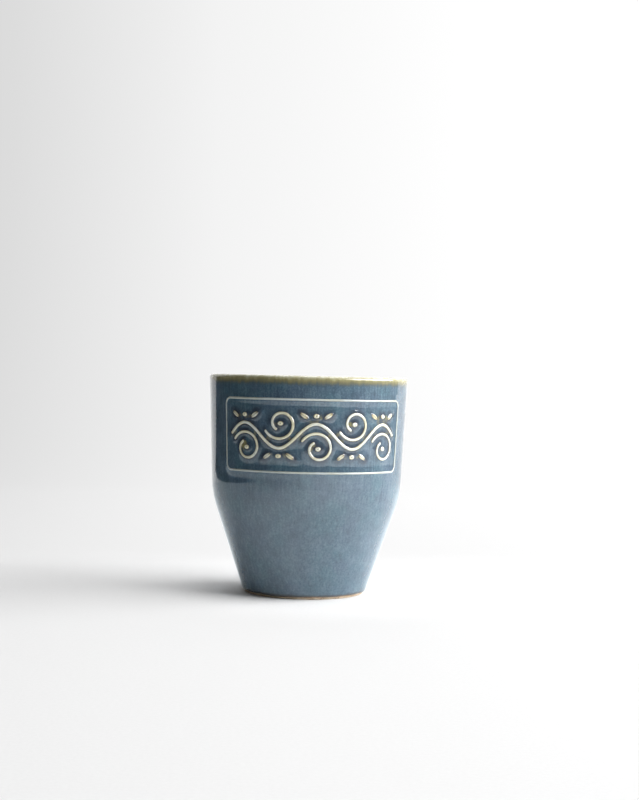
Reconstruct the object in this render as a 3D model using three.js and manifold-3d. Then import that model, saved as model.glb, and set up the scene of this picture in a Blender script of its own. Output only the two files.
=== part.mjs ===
// A handleless stoneware mug: a turned clay body in glaze coats, with a raised panel of piped slip
// on its front. Millimetres, +Z up, the origin under the middle of the foot, the panel facing -Y.
import * as THREE from "three";
import { mergeVertices } from "three/addons/utils/BufferGeometryUtils.js";
import Module from "manifold-3d";

const wasm = await Module();
wasm.setup();

// The mug as it stands, over the glaze. In section its two walls are straight lines: the upper one
// runs from the lip to the shoulder, the lower one from the shoulder to the foot.
const HEIGHT = 85;
const LIP_DIAMETER = 78;
const SHOULDER_DIAMETER = 74;
const SHOULDER_HEIGHT = 38.5;
const SHOULDER_ROUND = 42;
const FOOT_DIAMETER = 47.6;

// The fired clay. Near the lip its wall thins on the inside.
const CLAY_WALL = 3.8;
const CLAY_LIP = 2;
const LIP_TAPER = 16;
const CLAY_FLOOR = 5;
const FLOOR_ROUND = 10;
const FOOT_CHAMFER = 0.4;
const FOOT_RING_WIDTH = 4;
const RECESS_DEPTH = 2;
const RECESS_FLARE = 0.8;

// The glaze coats. The lip's coat is thin, because glaze runs down off an edge in the firing.
const OUTER_COAT = 0.5;
const INNER_COAT = 0.4;
const LIP_COAT = 0.25;
const BASE_COAT = 0.35;
const LIP_BAND = 5;
const BARE_FOOT = 0.9;
const COAT_GAP = 0.05;

// The relief panel. Its width is measured round the glazed wall at half its height, and its drop
// from the top of the lip to the middle of its upper line.
const PANEL_WIDTH = 76.2;
const PANEL_HEIGHT = 27.1;
const PANEL_DROP = 8.9;
const PANEL_CORNER = 2.4;
const PANEL_MARGIN = 2.6;
const LINE_WIDTH = 0.9;

// The slip trails. They sit on the clay and stand through the outer coat, which keeps clear of them.
const RELIEF = 0.6;
const TRAIL_SEAT = 0.1;
const TRAIL_CLEARANCE = 0.25;
const TRAIL_SPACING = 1.1;
const TIP_WIDTH = 0.3;

// The ornament: a waving vine. In each hollow of its wave a tendril curls round a berry, and on each
// crest a berry stands between two leaflets.
const VINE_WIDTH = 1.4;
const VINE_SWING = 4.6;
const HALF_WAVES = 5;
const TENDRIL_WIDTH = 1.2;
const TENDRIL_DROP = 9.2;
const TENDRIL_SHIFT = 0.8;
const TENDRIL_OUTER_RADIUS = 6.6;
const TENDRIL_INNER_RADIUS = 2.6;
const TENDRIL_START = THREE.MathUtils.degToRad(158);
const TENDRIL_TURN = THREE.MathUtils.degToRad(400);
const TENDRIL_TIGHTENING = 0.8;
const LEAFLET_LENGTH = 4.8;
const LEAFLET_WIDTH = 2.1;
const LEAFLET_RISE = THREE.MathUtils.degToRad(34);
const BERRY_DIAMETER = 2.3;

// How a trail narrows to its ends: a pointed leaf, a round berry or a line of nearly one width.
const POINTED = 1;
const ROUND = 0.5;
const EVEN = 0.1;

// Facets.
const TURNED_FACETS = 44;
const SHOULDER_STEPS = 3;
const FLOOR_STEPS = 4;
const LIP_STEPS = 6;
const SECTION_STEPS = 4;
const LEAFLET_STEPS = 5;
const BERRY_STEPS = 4;
const TENDRIL_STEPS = 16;
const VINE_STEPS = 36;
const FRAME_STEP = 4;
const CORNER_STEPS = 3;

// Depths below the glazed outer face, square to the wall.
const clayOuter = OUTER_COAT + COAT_GAP;
const clayMiddle = clayOuter + CLAY_WALL / 2;
const clayInner = clayOuter + CLAY_WALL;
const linerOuter = clayInner + COAT_GAP;
const linerInner = linerOuter + INNER_COAT;

// The two straight walls, and the round between them, which every layer shares as arcs of one centre.
const lowerSlope = (SHOULDER_DIAMETER - FOOT_DIAMETER) / 2 / SHOULDER_HEIGHT;
const upperSlope = (LIP_DIAMETER - SHOULDER_DIAMETER) / 2 / (HEIGHT - SHOULDER_HEIGHT);
const lowerNormal = -Math.atan(lowerSlope);
const upperNormal = -Math.atan(upperSlope);

function lowerRadius(z, depth) {
  return FOOT_DIAMETER / 2 + lowerSlope * z - depth * Math.hypot(1, lowerSlope);
}

function upperRadius(z, depth) {
  return SHOULDER_DIAMETER / 2 + upperSlope * (z - SHOULDER_HEIGHT) - depth * Math.hypot(1, upperSlope);
}

const shoulderSpread = upperRadius(0, SHOULDER_ROUND) - lowerRadius(0, SHOULDER_ROUND);
const shoulderRise = shoulderSpread / (lowerSlope - upperSlope);
const shoulderCentre = new THREE.Vector2(lowerRadius(shoulderRise, SHOULDER_ROUND), shoulderRise);

function wallRadius(z, depth) {
  const round = SHOULDER_ROUND - depth;
  const above = z - shoulderCentre.y;
  if (above < round * Math.sin(lowerNormal)) {
    return lowerRadius(z, depth);
  }
  if (above > round * Math.sin(upperNormal)) {
    return upperRadius(z, depth);
  }
  return shoulderCentre.x + Math.sqrt(round ** 2 - above ** 2);
}

function arc(centre, radiusAt, from, to, steps) {
  const points = [];
  for (let i = 0; i <= steps; i += 1) {
    const angle = from + ((to - from) * i) / steps;
    const spoke = new THREE.Vector2(Math.cos(angle), Math.sin(angle));
    points.push(centre.clone().addScaledVector(spoke, radiusAt(angle)));
  }
  return points;
}

// A layer's line from a point on the lower wall up through the shoulder.
function wallLine(depth, bottom) {
  const foot = new THREE.Vector2(lowerRadius(bottom, depth), bottom);
  const round = SHOULDER_ROUND - depth;
  return [foot, ...arc(shoulderCentre, () => round, lowerNormal, upperNormal, SHOULDER_STEPS)];
}

function upperPoint(z, depth) {
  return new THREE.Vector2(upperRadius(z, depth), z);
}

// The round of the lip, from the outer face over the top to the inner one.
const lipHeight = HEIGHT - LIP_COAT - COAT_GAP - CLAY_LIP / 2;
const lipCentre = upperPoint(lipHeight, clayOuter + CLAY_LIP / 2);
const lipLine = HEIGHT - LIP_BAND;

function lipRound(radiusAt) {
  return arc(lipCentre, radiusAt, upperNormal, upperNormal + Math.PI, LIP_STEPS);
}

// The round inside, from the middle of the floor out to the wall.
const floorTop = RECESS_DEPTH + CLAY_FLOOR;
const floorRise = floorTop + FLOOR_ROUND;
const floorCentre = new THREE.Vector2(lowerRadius(floorRise, clayInner + FLOOR_ROUND), floorRise);

function floorLine(lift) {
  const round = FLOOR_ROUND - lift;
  const middle = new THREE.Vector2(0, floorTop + lift);
  return [middle, ...arc(floorCentre, () => round, -Math.PI / 2, lowerNormal, FLOOR_STEPS)];
}

// The inside's line, from the floor up to the foot of the lip's taper.
const taperFoot = HEIGHT - LIP_TAPER;

function cupLine(depth, lift) {
  const wall = wallLine(depth, floorRise).slice(1);
  return [...floorLine(lift), ...wall, upperPoint(taperFoot, depth)];
}

function taperPoint(z, depth) {
  const thinned = (CLAY_WALL - CLAY_LIP) * ((z - taperFoot) / (lipHeight - taperFoot));
  return upperPoint(z, depth - thinned);
}

function turned(profile) {
  const geometry = new THREE.LatheGeometry(profile, TURNED_FACETS);
  geometry.rotateX(Math.PI / 2);
  return geometry;
}

function closedLine(points) {
  return [...points, points[0]];
}

// The clay body: recess, foot ring, outer wall, lip, inner wall and floor in one line.
const ringOuter = lowerRadius(FOOT_CHAMFER, clayOuter) - FOOT_CHAMFER;
const ringInner = ringOuter - FOOT_RING_WIDTH;
const recessRadius = ringInner - RECESS_FLARE;

const clayBody = turned([
  new THREE.Vector2(0, RECESS_DEPTH),
  new THREE.Vector2(recessRadius, RECESS_DEPTH),
  new THREE.Vector2(ringInner, 0),
  new THREE.Vector2(ringOuter, 0),
  ...wallLine(clayOuter, FOOT_CHAMFER),
  ...lipRound(() => CLAY_LIP / 2),
  ...cupLine(clayInner, 0).reverse(),
]);

// The outer coat, from the bare foot to the lip's band.
const outerCoat = turned(closedLine([
  ...wallLine(0, BARE_FOOT),
  upperPoint(lipLine - COAT_GAP, 0),
  upperPoint(lipLine - COAT_GAP, OUTER_COAT),
  ...wallLine(OUTER_COAT, BARE_FOOT).reverse(),
]));

// The inner coat, over the floor and up to the lip's band.
const innerCoat = turned([
  ...cupLine(linerOuter, COAT_GAP),
  taperPoint(lipLine - COAT_GAP, linerOuter),
  taperPoint(lipLine - COAT_GAP, linerInner),
  ...cupLine(linerInner, COAT_GAP + INNER_COAT).reverse(),
]);

// The lip's coat thins from the outer and inner coats' thickness to its own at the top.
const lipSeat = CLAY_LIP / 2 + COAT_GAP;

function lipFace(angle) {
  const across = Math.cos(angle - upperNormal);
  const side = across > 0 ? OUTER_COAT : INNER_COAT;
  return lipSeat + LIP_COAT + (side - LIP_COAT) * across ** 2;
}

const lipCoat = turned(closedLine([
  upperPoint(lipLine, 0),
  ...lipRound(lipFace),
  taperPoint(lipLine, linerInner),
  taperPoint(lipLine, linerOuter),
  ...lipRound(() => lipSeat).reverse(),
  upperPoint(lipLine, OUTER_COAT),
]));

// The disc of glaze in the recess under the foot.
const baseTop = RECESS_DEPTH - COAT_GAP;
const baseRadius = recessRadius - COAT_GAP;

const baseCoat = turned([
  new THREE.Vector2(0, baseTop - BASE_COAT),
  new THREE.Vector2(baseRadius, baseTop - BASE_COAT),
  new THREE.Vector2(baseRadius, baseTop),
  new THREE.Vector2(0, baseTop),
]);

// The panel is drawn flat, x round the wall and y up it, and wrapped on the wall at a depth.
const panelMiddle = HEIGHT - PANEL_DROP - PANEL_HEIGHT / 2;
const panelRadius = wallRadius(panelMiddle, 0);

function onWall(x, y, depth) {
  const turn = x / panelRadius;
  const z = panelMiddle + y;
  const radius = wallRadius(z, depth);
  return new THREE.Vector3(radius * Math.sin(turn), -radius * Math.cos(turn), z);
}

// A trail's section is a half round on the clay. Its slot's is a wider box, right through the coat.
function trailSection(half) {
  const seat = clayOuter - TRAIL_SEAT;
  const points = [];
  for (let i = 0; i <= SECTION_STEPS; i += 1) {
    const angle = (Math.PI * i) / SECTION_STEPS;
    const depth = seat - (seat + RELIEF) * Math.sin(angle);
    points.push({ across: half * Math.cos(angle), depth });
  }
  return points;
}

function slotSection(half) {
  const wide = half + TRAIL_CLEARANCE;
  return [
    { across: wide, depth: clayMiddle },
    { across: wide, depth: -RELIEF },
    { across: -wide, depth: -RELIEF },
    { across: -wide, depth: clayMiddle },
  ];
}

// A section swept through stations on the panel, each with a place, a heading and a half-width.
function swept(stations, sectionOf, isLoop) {
  const positions = [];
  const triangles = [];
  for (const { place, heading, half } of stations) {
    for (const { across, depth } of sectionOf(half)) {
      const x = place.x - heading.y * across;
      const y = place.y + heading.x * across;
      positions.push(...onWall(x, y, depth));
    }
  }
  const corners = sectionOf(0).length;
  const spans = isLoop ? stations.length : stations.length - 1;
  for (let i = 0; i < spans; i += 1) {
    const here = i * corners;
    const next = ((i + 1) % stations.length) * corners;
    for (let j = 0; j < corners; j += 1) {
      const k = (j + 1) % corners;
      triangles.push(here + j, here + k, next + j);
      triangles.push(next + j, here + k, next + k);
    }
  }
  if (!isLoop) {
    const last = spans * corners;
    for (let j = 1; j < corners - 1; j += 1) {
      triangles.push(0, j + 1, j);
      triangles.push(last, last + j, last + j + 1);
    }
  }
  const geometry = new THREE.BufferGeometry();
  geometry.setAttribute("position", new THREE.Float32BufferAttribute(positions, 3));
  geometry.setIndex(triangles);
  return geometry;
}

const trails = [];

function addTrail(name, stations, isLoop) {
  trails.push({ name, stations, isLoop });
}

// A piped line along a curve. The more it narrows to its ends, the closer its stations are there.
function pipe(name, curve, width, narrowing, steps) {
  const stations = [];
  for (let i = 0; i <= steps; i += 1) {
    const crowded = (1 - Math.cos((Math.PI * i) / steps)) / 2;
    const t = THREE.MathUtils.lerp(i / steps, crowded, narrowing);
    const full = width * (4 * t * (1 - t)) ** narrowing;
    const half = Math.max(full, TIP_WIDTH) / 2;
    stations.push({ place: curve.getPoint(t), heading: curve.getTangent(t), half });
  }
  addTrail(name, stations, false);
}

function berry(name, centre) {
  const reach = new THREE.Vector2(BERRY_DIAMETER / 2, 0);
  const line = new THREE.LineCurve(centre.clone().sub(reach), centre.clone().add(reach));
  pipe(name, line, BERRY_DIAMETER, ROUND, BERRY_STEPS);
}

// The frame: one line round the panel with rounded corners.
function frameLine() {
  const x = PANEL_WIDTH / 2;
  const y = PANEL_HEIGHT / 2;
  const inX = x - PANEL_CORNER;
  const inY = y - PANEL_CORNER;
  const quarter = Math.PI / 2;
  const line = new THREE.Path();
  line.moveTo(-inX, -y);
  line.lineTo(inX, -y);
  line.absarc(inX, -inY, PANEL_CORNER, -quarter, 0);
  line.lineTo(x, inY);
  line.absarc(inX, inY, PANEL_CORNER, 0, quarter);
  line.lineTo(-inX, y);
  line.absarc(-inX, inY, PANEL_CORNER, quarter, 2 * quarter);
  line.lineTo(-x, -inY);
  line.absarc(-inX, -inY, PANEL_CORNER, 2 * quarter, 3 * quarter);
  return line;
}

function addFrame() {
  const stations = [];
  for (const curve of frameLine().curves) {
    const isCorner = curve instanceof THREE.EllipseCurve;
    const steps = isCorner ? CORNER_STEPS : Math.ceil(curve.getLength() / FRAME_STEP);
    for (let i = 0; i < steps; i += 1) {
      const t = i / steps;
      stations.push({ place: curve.getPoint(t), heading: curve.getTangent(t), half: LINE_WIDTH / 2 });
    }
  }
  addTrail("panel_frame", stations, true);
}

// The vine's wave, from one margin of the panel to the other.
const vineEnd = PANEL_WIDTH / 2 - LINE_WIDTH / 2 - PANEL_MARGIN;
const halfWave = (2 * vineEnd) / HALF_WAVES;

class VineCurve extends THREE.Curve {
  getPoint(t) {
    const along = 2 * vineEnd * t;
    return new THREE.Vector2(along - vineEnd, VINE_SWING * Math.sin((Math.PI * along) / halfWave));
  }

  getTangent(t) {
    const rate = Math.PI / halfWave;
    return new THREE.Vector2(1, VINE_SWING * rate * Math.cos(rate * 2 * vineEnd * t)).normalize();
  }
}

// A tendril's spiral about its berry, right way up under a crest or upside down over a trough.
class TendrilCurve extends THREE.Curve {
  constructor(centre, up) {
    super();
    this.centre = centre;
    this.up = up;
  }

  getPoint(t) {
    const angle = TENDRIL_START - TENDRIL_TURN * t;
    const tightened = t ** TENDRIL_TIGHTENING;
    const radius = THREE.MathUtils.lerp(TENDRIL_OUTER_RADIUS, TENDRIL_INNER_RADIUS, tightened);
    const x = this.centre.x + radius * Math.cos(angle);
    return new THREE.Vector2(x, this.centre.y + this.up * radius * Math.sin(angle));
  }

  getTangent(t) {
    const step = 0.5 / TENDRIL_STEPS;
    const before = this.getPoint(Math.max(t - step, 0));
    const after = this.getPoint(Math.min(t + step, 1));
    return after.sub(before).normalize();
  }
}

function addCrest(number, crest, up) {
  const offVine = VINE_WIDTH / 2 + TRAIL_SPACING + BERRY_DIAMETER / 2;
  const curl = new THREE.Vector2(crest.x + TENDRIL_SHIFT, crest.y - up * TENDRIL_DROP);
  pipe(`tendril_${number}`, new TendrilCurve(curl, up), TENDRIL_WIDTH, EVEN, TENDRIL_STEPS);
  berry(`tendril_berry_${number}`, curl);
  berry(`crest_berry_${number}`, new THREE.Vector2(crest.x, crest.y + up * offVine));
  for (const [hand, lean] of [["left", -1], ["right", 1]]) {
    const heading = new THREE.Vector2(lean * Math.cos(LEAFLET_RISE), up * Math.sin(LEAFLET_RISE));
    const root = crest.clone().addScaledVector(heading, offVine);
    const tip = root.clone().addScaledVector(heading, LEAFLET_LENGTH);
    const vein = new THREE.LineCurve(root, tip);
    pipe(`${hand}_leaflet_${number}`, vein, LEAFLET_WIDTH, POINTED, LEAFLET_STEPS);
  }
}

addFrame();
pipe("vine", new VineCurve(), VINE_WIDTH, EVEN, VINE_STEPS);
for (let i = 0; i < HALF_WAVES; i += 1) {
  const up = i % 2 === 0 ? 1 : -1;
  addCrest(i + 1, new THREE.Vector2((i + 0.5) * halfWave - vineEnd, up * VINE_SWING), up);
}

// The outer coat is cut clear of every trail. The frame's slot parts it in two: the glaze round the
// mug, and the smaller field of glaze inside the frame.
function solidOf(geometry) {
  const bare = geometry.clone();
  bare.deleteAttribute("normal");
  bare.deleteAttribute("uv");
  const merged = mergeVertices(bare);
  const vertProperties = merged.getAttribute("position").array;
  const triVerts = new Uint32Array(merged.getIndex().array);
  return new wasm.Manifold(new wasm.Mesh({ numProp: 3, vertProperties, triVerts }));
}

function geometryOf(solid) {
  const { vertProperties, triVerts } = solid.getMesh();
  const geometry = new THREE.BufferGeometry();
  geometry.setAttribute("position", new THREE.Float32BufferAttribute(vertProperties, 3));
  geometry.setIndex([...triVerts]);
  geometry.computeVertexNormals();
  return geometry;
}

// A slot runs on past its trail's two ends by the clearance.
function slotStations({ stations, isLoop }) {
  if (isLoop) {
    return stations;
  }
  const first = stations[0];
  const last = stations[stations.length - 1];
  const before = first.place.clone().addScaledVector(first.heading, -TRAIL_CLEARANCE);
  const after = last.place.clone().addScaledVector(last.heading, TRAIL_CLEARANCE);
  return [{ ...first, place: before }, ...stations.slice(1, -1), { ...last, place: after }];
}

let slottedCoat = solidOf(outerCoat);
for (const trail of trails) {
  const slot = swept(slotStations(trail), slotSection, trail.isLoop);
  slottedCoat = slottedCoat.subtract(solidOf(slot));
}
const [panelCoat, wallCoat] = slottedCoat.decompose().sort((a, b) => a.volume() - b.volume());

// The mug.
const clay = new THREE.MeshStandardMaterial({ color: 0xb79b7c, roughness: 0.85, metalness: 0 });
const slateGlaze = new THREE.MeshStandardMaterial({ color: 0x4d5f6d, roughness: 0.18, metalness: 0 });
const amberGlaze = new THREE.MeshStandardMaterial({ color: 0x8f8459, roughness: 0.2, metalness: 0 });
const creamSlip = new THREE.MeshStandardMaterial({ color: 0xd6d1bc, roughness: 0.3, metalness: 0 });

const mug = new THREE.Group();

function addPiece(name, geometry, material) {
  const piece = new THREE.Mesh(geometry, material.clone());
  piece.name = name;
  mug.add(piece);
}

addPiece("clay_body", clayBody, clay);
addPiece("outer_glaze", geometryOf(wallCoat), slateGlaze);
addPiece("panel_glaze", geometryOf(panelCoat), slateGlaze);
addPiece("inner_glaze", innerCoat, slateGlaze);
addPiece("lip_glaze", lipCoat, amberGlaze);
addPiece("base_glaze", baseCoat, slateGlaze);
for (const { name, stations, isLoop } of trails) {
  addPiece(name, swept(stations, trailSection, isLoop), creamSlip);
}

export default mug;
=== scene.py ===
# A handleless stoneware mug, dressed round its solids. Metres, +Z up, the relief panel facing -Y.
import math

import bpy
import numpy as np
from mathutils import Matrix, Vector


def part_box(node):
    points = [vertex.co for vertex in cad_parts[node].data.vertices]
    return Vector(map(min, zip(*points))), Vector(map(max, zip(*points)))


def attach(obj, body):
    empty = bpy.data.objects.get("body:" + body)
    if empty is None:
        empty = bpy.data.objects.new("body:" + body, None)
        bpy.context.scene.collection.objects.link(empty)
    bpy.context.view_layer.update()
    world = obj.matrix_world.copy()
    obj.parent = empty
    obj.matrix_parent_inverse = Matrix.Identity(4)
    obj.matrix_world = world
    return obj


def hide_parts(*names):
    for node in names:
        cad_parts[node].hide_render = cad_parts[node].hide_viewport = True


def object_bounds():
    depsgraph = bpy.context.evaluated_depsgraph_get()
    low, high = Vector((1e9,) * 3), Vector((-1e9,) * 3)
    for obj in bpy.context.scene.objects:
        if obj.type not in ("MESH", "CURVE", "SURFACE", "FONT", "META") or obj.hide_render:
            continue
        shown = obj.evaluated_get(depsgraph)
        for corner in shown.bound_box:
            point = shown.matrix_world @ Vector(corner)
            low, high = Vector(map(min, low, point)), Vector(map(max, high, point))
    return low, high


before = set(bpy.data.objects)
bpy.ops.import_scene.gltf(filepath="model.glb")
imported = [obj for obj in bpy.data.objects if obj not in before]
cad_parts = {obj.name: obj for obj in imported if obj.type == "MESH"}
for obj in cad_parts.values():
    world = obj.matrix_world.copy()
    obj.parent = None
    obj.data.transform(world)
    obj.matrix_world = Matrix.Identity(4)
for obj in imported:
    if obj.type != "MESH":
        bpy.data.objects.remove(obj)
cad_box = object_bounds()

# The pot: stoneware clay, thrown on a wheel and trimmed to a foot ring with a shallow recess.
# It is glazed all over but for the foot, which stays bare so that it won't stick to the kiln shelf.
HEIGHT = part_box("lip_glaze")[1].z
LIP_RADIUS = 0.039
SHOULDER_RADIUS = 0.037
SHOULDER_HEIGHT = 0.0385
SHOULDER_ROUND = 0.042
FOOT_RADIUS = 0.0238
CLAY_WALL = 0.0038
CLAY_LIP = 0.002
CLAY_FLOOR = 0.005
LIP_TAPER = 0.016
FLOOR_ROUND = 0.01
FOOT_RING_WIDTH = 0.004
FOOT_ROUND = 0.0005
RECESS_DEPTH = 0.002
RECESS_FLARE = 0.0008
RECESS_FILLET = 0.0007
OUTER_COAT = 0.0005
INNER_COAT = 0.0004
LIP_COAT = 0.00025
COAT_GAP = 0.00005
TURNED_STEPS = 360
FILLET_STEPS = 5
FOOT_STEPS = 6
WALL_STEPS = 40
LIP_STEPS = 10
CUP_STEPS = 8
SMOOTH_ANGLE = math.radians(40)
TINY = 1e-6
LOWER_SLOPE = (SHOULDER_RADIUS - FOOT_RADIUS) / SHOULDER_HEIGHT
UPPER_SLOPE = (LIP_RADIUS - SHOULDER_RADIUS) / (HEIGHT - SHOULDER_HEIGHT)
LOWER_NORMAL = -math.atan(LOWER_SLOPE)
UPPER_NORMAL = -math.atan(UPPER_SLOPE)
CLAY_OUTER = OUTER_COAT + COAT_GAP
CLAY_INNER = CLAY_OUTER + CLAY_WALL
CLAY_SHADES = (
    (0.36, (0.34, 0.25, 0.17, 1)),
    (0.5, (0.48, 0.37, 0.27, 1)),
    (0.64, (0.62, 0.51, 0.40, 1)),
)
CLAY_CLOUDS_PER_METRE = 260
CLAY_CLOUD_SHARE = 0.45
CLAY_GRAINS_PER_METRE = 2600
CLAY_GRAIN_SHARE = 0.55
CLAY_GRAIN_DEPTH = 0.00012
CLAY_GRAIN_STRENGTH = 0.6
CLAY_SPECK = (0.10, 0.055, 0.03, 1)
CLAY_SPECKS_PER_METRE = 1700
CLAY_SPECK_EDGE = 0.66, 0.72
CLAY_TOASTED = (0.19, 0.095, 0.045, 1)
TOAST_HEIGHTS = 0.0007, 0.0014
TOAST_SHARE = 0.75
TOAST_WAVER = 0.0006
TOAST_WAVES_PER_METRE = 500
CLAY_ROUGHNESS = 0.82
CLAY_SHINE = 0.3


def lower_radius(height, depth):
    """The lower wall's radius at a height, at a depth under the glazed face."""
    return FOOT_RADIUS + LOWER_SLOPE * height - depth * math.hypot(1, LOWER_SLOPE)


def upper_radius(height, depth):
    """The upper wall's radius at a height, at a depth under the glazed face."""
    rise = height - SHOULDER_HEIGHT
    return SHOULDER_RADIUS + UPPER_SLOPE * rise - depth * math.hypot(1, UPPER_SLOPE)


shoulder_spread = upper_radius(0, SHOULDER_ROUND) - lower_radius(0, SHOULDER_ROUND)
SHOULDER_Z = shoulder_spread / (LOWER_SLOPE - UPPER_SLOPE)
SHOULDER_R = lower_radius(SHOULDER_Z, SHOULDER_ROUND)


def wall_radius(height, depth):
    """The wall's radius at a height, through the round of the shoulder."""
    above = height - SHOULDER_Z
    bend = SHOULDER_ROUND - depth
    rounded = SHOULDER_R + np.sqrt(np.maximum(bend**2 - above**2, 0))
    low = above < bend * math.sin(LOWER_NORMAL)
    high = above > bend * math.sin(UPPER_NORMAL)
    straight = np.where(low, lower_radius(height, depth), upper_radius(height, depth))
    return np.where(low | high, straight, rounded)


def arc(radius, height, bend, start, end, steps):
    """Section points round a centre, from one angle to another."""
    return [
        (radius + bend * math.cos(a), height + bend * math.sin(a))
        for a in np.linspace(start, end, steps + 1)
    ]


def wall_line(bottom, top, depth, steps):
    """Section points up the wall, from one height to another."""
    heights = np.linspace(bottom, top, steps + 1)
    return list(zip(wall_radius(heights, depth), heights))


def turned(name, line):
    """A piece turned on the mug's axis: its section line is drawn point by point and spun."""
    bpy.ops.object.select_all(action="DESELECT")
    bpy.ops.mesh.primitive_plane_add(size=COAT_GAP, location=(line[0][0], 0, line[0][1]))
    piece = bpy.context.object
    piece.name = name
    bpy.ops.object.mode_set(mode="EDIT")
    bpy.ops.mesh.merge(type="CENTER")
    for (r0, z0), (r1, z1) in zip(line, line[1:]):
        bpy.ops.mesh.extrude_vertices_move(TRANSFORM_OT_translate={"value": (r1 - r0, 0, z1 - z0)})
    bpy.ops.mesh.select_all(action="SELECT")
    bpy.ops.mesh.spin(steps=TURNED_STEPS, angle=2 * math.pi, center=(0, 0, 0), axis=(0, 0, 1))
    bpy.ops.mesh.select_all(action="SELECT")
    bpy.ops.mesh.remove_doubles(threshold=TINY)
    bpy.ops.mesh.normals_make_consistent(inside=False)
    bpy.ops.object.mode_set(mode="OBJECT")
    bpy.ops.object.transform_apply(location=True, rotation=True, scale=True)
    bpy.ops.object.shade_smooth_by_angle(angle=SMOOTH_ANGLE)
    return piece


def points_of(piece):
    """The piece's vertices as an array of places."""
    places = np.empty(len(piece.data.vertices) * 3)
    piece.data.vertices.foreach_get("co", places)
    return places.reshape(-1, 3)


def dressed(piece, material, slot, *nodes):
    """The piece gets its material, rides on the mug and stands for its solids."""
    piece.data.materials.clear()
    piece.data.materials.append(material)
    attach(piece, "root")
    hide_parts(*nodes)


def add(tree, kind, inputs=(), **settings):
    """A shader node with its settings, and its inputs: values, or other nodes' outputs."""
    node = tree.nodes.new(kind)
    for setting, value in settings.items():
        setattr(node, setting, value)
    for socket, value in dict(inputs).items():
        if isinstance(value, bpy.types.NodeSocket):
            tree.links.new(value, node.inputs[socket])
        else:
            node.inputs[socket].default_value = value
    return node


def noise(tree, place, scale, detail=2.0, roughness=0.5, stretch=(1, 1, 1)):
    """Noise of a scale per metre, drawn out along an axis where that axis's stretch is under 1."""
    mapped = add(tree, "ShaderNodeMapping", {"Vector": place, "Scale": stretch})
    inputs = {"Vector": mapped.outputs[0], "Scale": scale, "Detail": detail, "Roughness": roughness}
    return add(tree, "ShaderNodeTexNoise", inputs).outputs["Fac"]


def math_node(tree, operation, *values):
    """A sum on shader values."""
    return add(tree, "ShaderNodeMath", enumerate(values), operation=operation).outputs[0]


def ramp(tree, factor, *stops):
    """A run of colours, each stop a place from 0 to 1 and a colour."""
    node = add(tree, "ShaderNodeValToRGB", {"Fac": factor})
    while len(node.color_ramp.elements) < len(stops):
        node.color_ramp.elements.new(1)
    for element, (place, colour) in zip(node.color_ramp.elements, stops):
        element.position = place
        element.color = colour
    return node.outputs["Color"]


def span(tree, value, low, high, smooth=True):
    """How far a value is from low to high, from 0 to 1."""
    kind = "SMOOTHSTEP" if smooth else "LINEAR"
    inputs = {"Value": value, "From Min": low, "From Max": high}
    return add(tree, "ShaderNodeMapRange", inputs, interpolation_type=kind).outputs["Result"]


def mixed(tree, factor, first, second, blend="MIX"):
    """Two colours mixed by a factor. The node's sockets share names, so they go by number."""
    inputs = {0: factor, 6: first, 7: second}
    return add(tree, "ShaderNodeMix", inputs, data_type="RGBA", blend_type=blend).outputs[2]


def new_material(name):
    """An empty procedural material: its node tree, its shader and the object's coordinates."""
    material = bpy.data.materials.new(name)
    material.use_nodes = True
    tree = material.node_tree
    place = add(tree, "ShaderNodeTexCoord").outputs["Object"]
    return material, tree, tree.nodes["Principled BSDF"], place


def bare_clay():
    """Fired stoneware: tan and sandy, with iron specks, toasted where it meets the glaze."""
    material, tree, shader, place = new_material("bare_clay")
    cloud = noise(tree, place, CLAY_CLOUDS_PER_METRE, detail=3)
    cloud = math_node(tree, "MULTIPLY", cloud, CLAY_CLOUD_SHARE)
    grain = noise(tree, place, CLAY_GRAINS_PER_METRE, detail=3, roughness=0.65)
    tan = ramp(tree, math_node(tree, "MULTIPLY_ADD", grain, CLAY_GRAIN_SHARE, cloud), *CLAY_SHADES)
    speck = span(tree, noise(tree, place, CLAY_SPECKS_PER_METRE, detail=1), *CLAY_SPECK_EDGE)
    tan = mixed(tree, speck, tan, CLAY_SPECK)
    height = add(tree, "ShaderNodeSeparateXYZ", {"Vector": place}).outputs["Z"]
    waver = noise(tree, place, TOAST_WAVES_PER_METRE)
    waver = math_node(tree, "MULTIPLY_ADD", waver, TOAST_WAVER, height)
    toast = math_node(tree, "MULTIPLY", span(tree, waver, *TOAST_HEIGHTS), TOAST_SHARE)
    tree.links.new(mixed(tree, toast, tan, CLAY_TOASTED), shader.inputs["Base Color"])
    shader.inputs["Roughness"].default_value = CLAY_ROUGHNESS
    shader.inputs["Specular IOR Level"].default_value = CLAY_SHINE
    relief = {"Height": grain, "Strength": CLAY_GRAIN_STRENGTH, "Distance": CLAY_GRAIN_DEPTH}
    bump = add(tree, "ShaderNodeBump", relief)
    tree.links.new(bump.outputs[0], shader.inputs["Normal"])
    return material


ring_outer = lower_radius(FOOT_ROUND, CLAY_OUTER + FOOT_ROUND)
ring_inner = ring_outer - FOOT_RING_WIDTH
recess_radius = ring_inner - FOOT_ROUND - RECESS_FLARE
lip_height = HEIGHT - LIP_COAT - COAT_GAP - CLAY_LIP / 2
lip_radius = upper_radius(lip_height, CLAY_OUTER + CLAY_LIP / 2)
taper_foot = HEIGHT - LIP_TAPER
floor_top = RECESS_DEPTH + CLAY_FLOOR
floor_rise = floor_top + FLOOR_ROUND
floor_radius = lower_radius(floor_rise, CLAY_INNER + FLOOR_ROUND)
fillet_radius = recess_radius - RECESS_FILLET
right_angle = math.pi / 2


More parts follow.
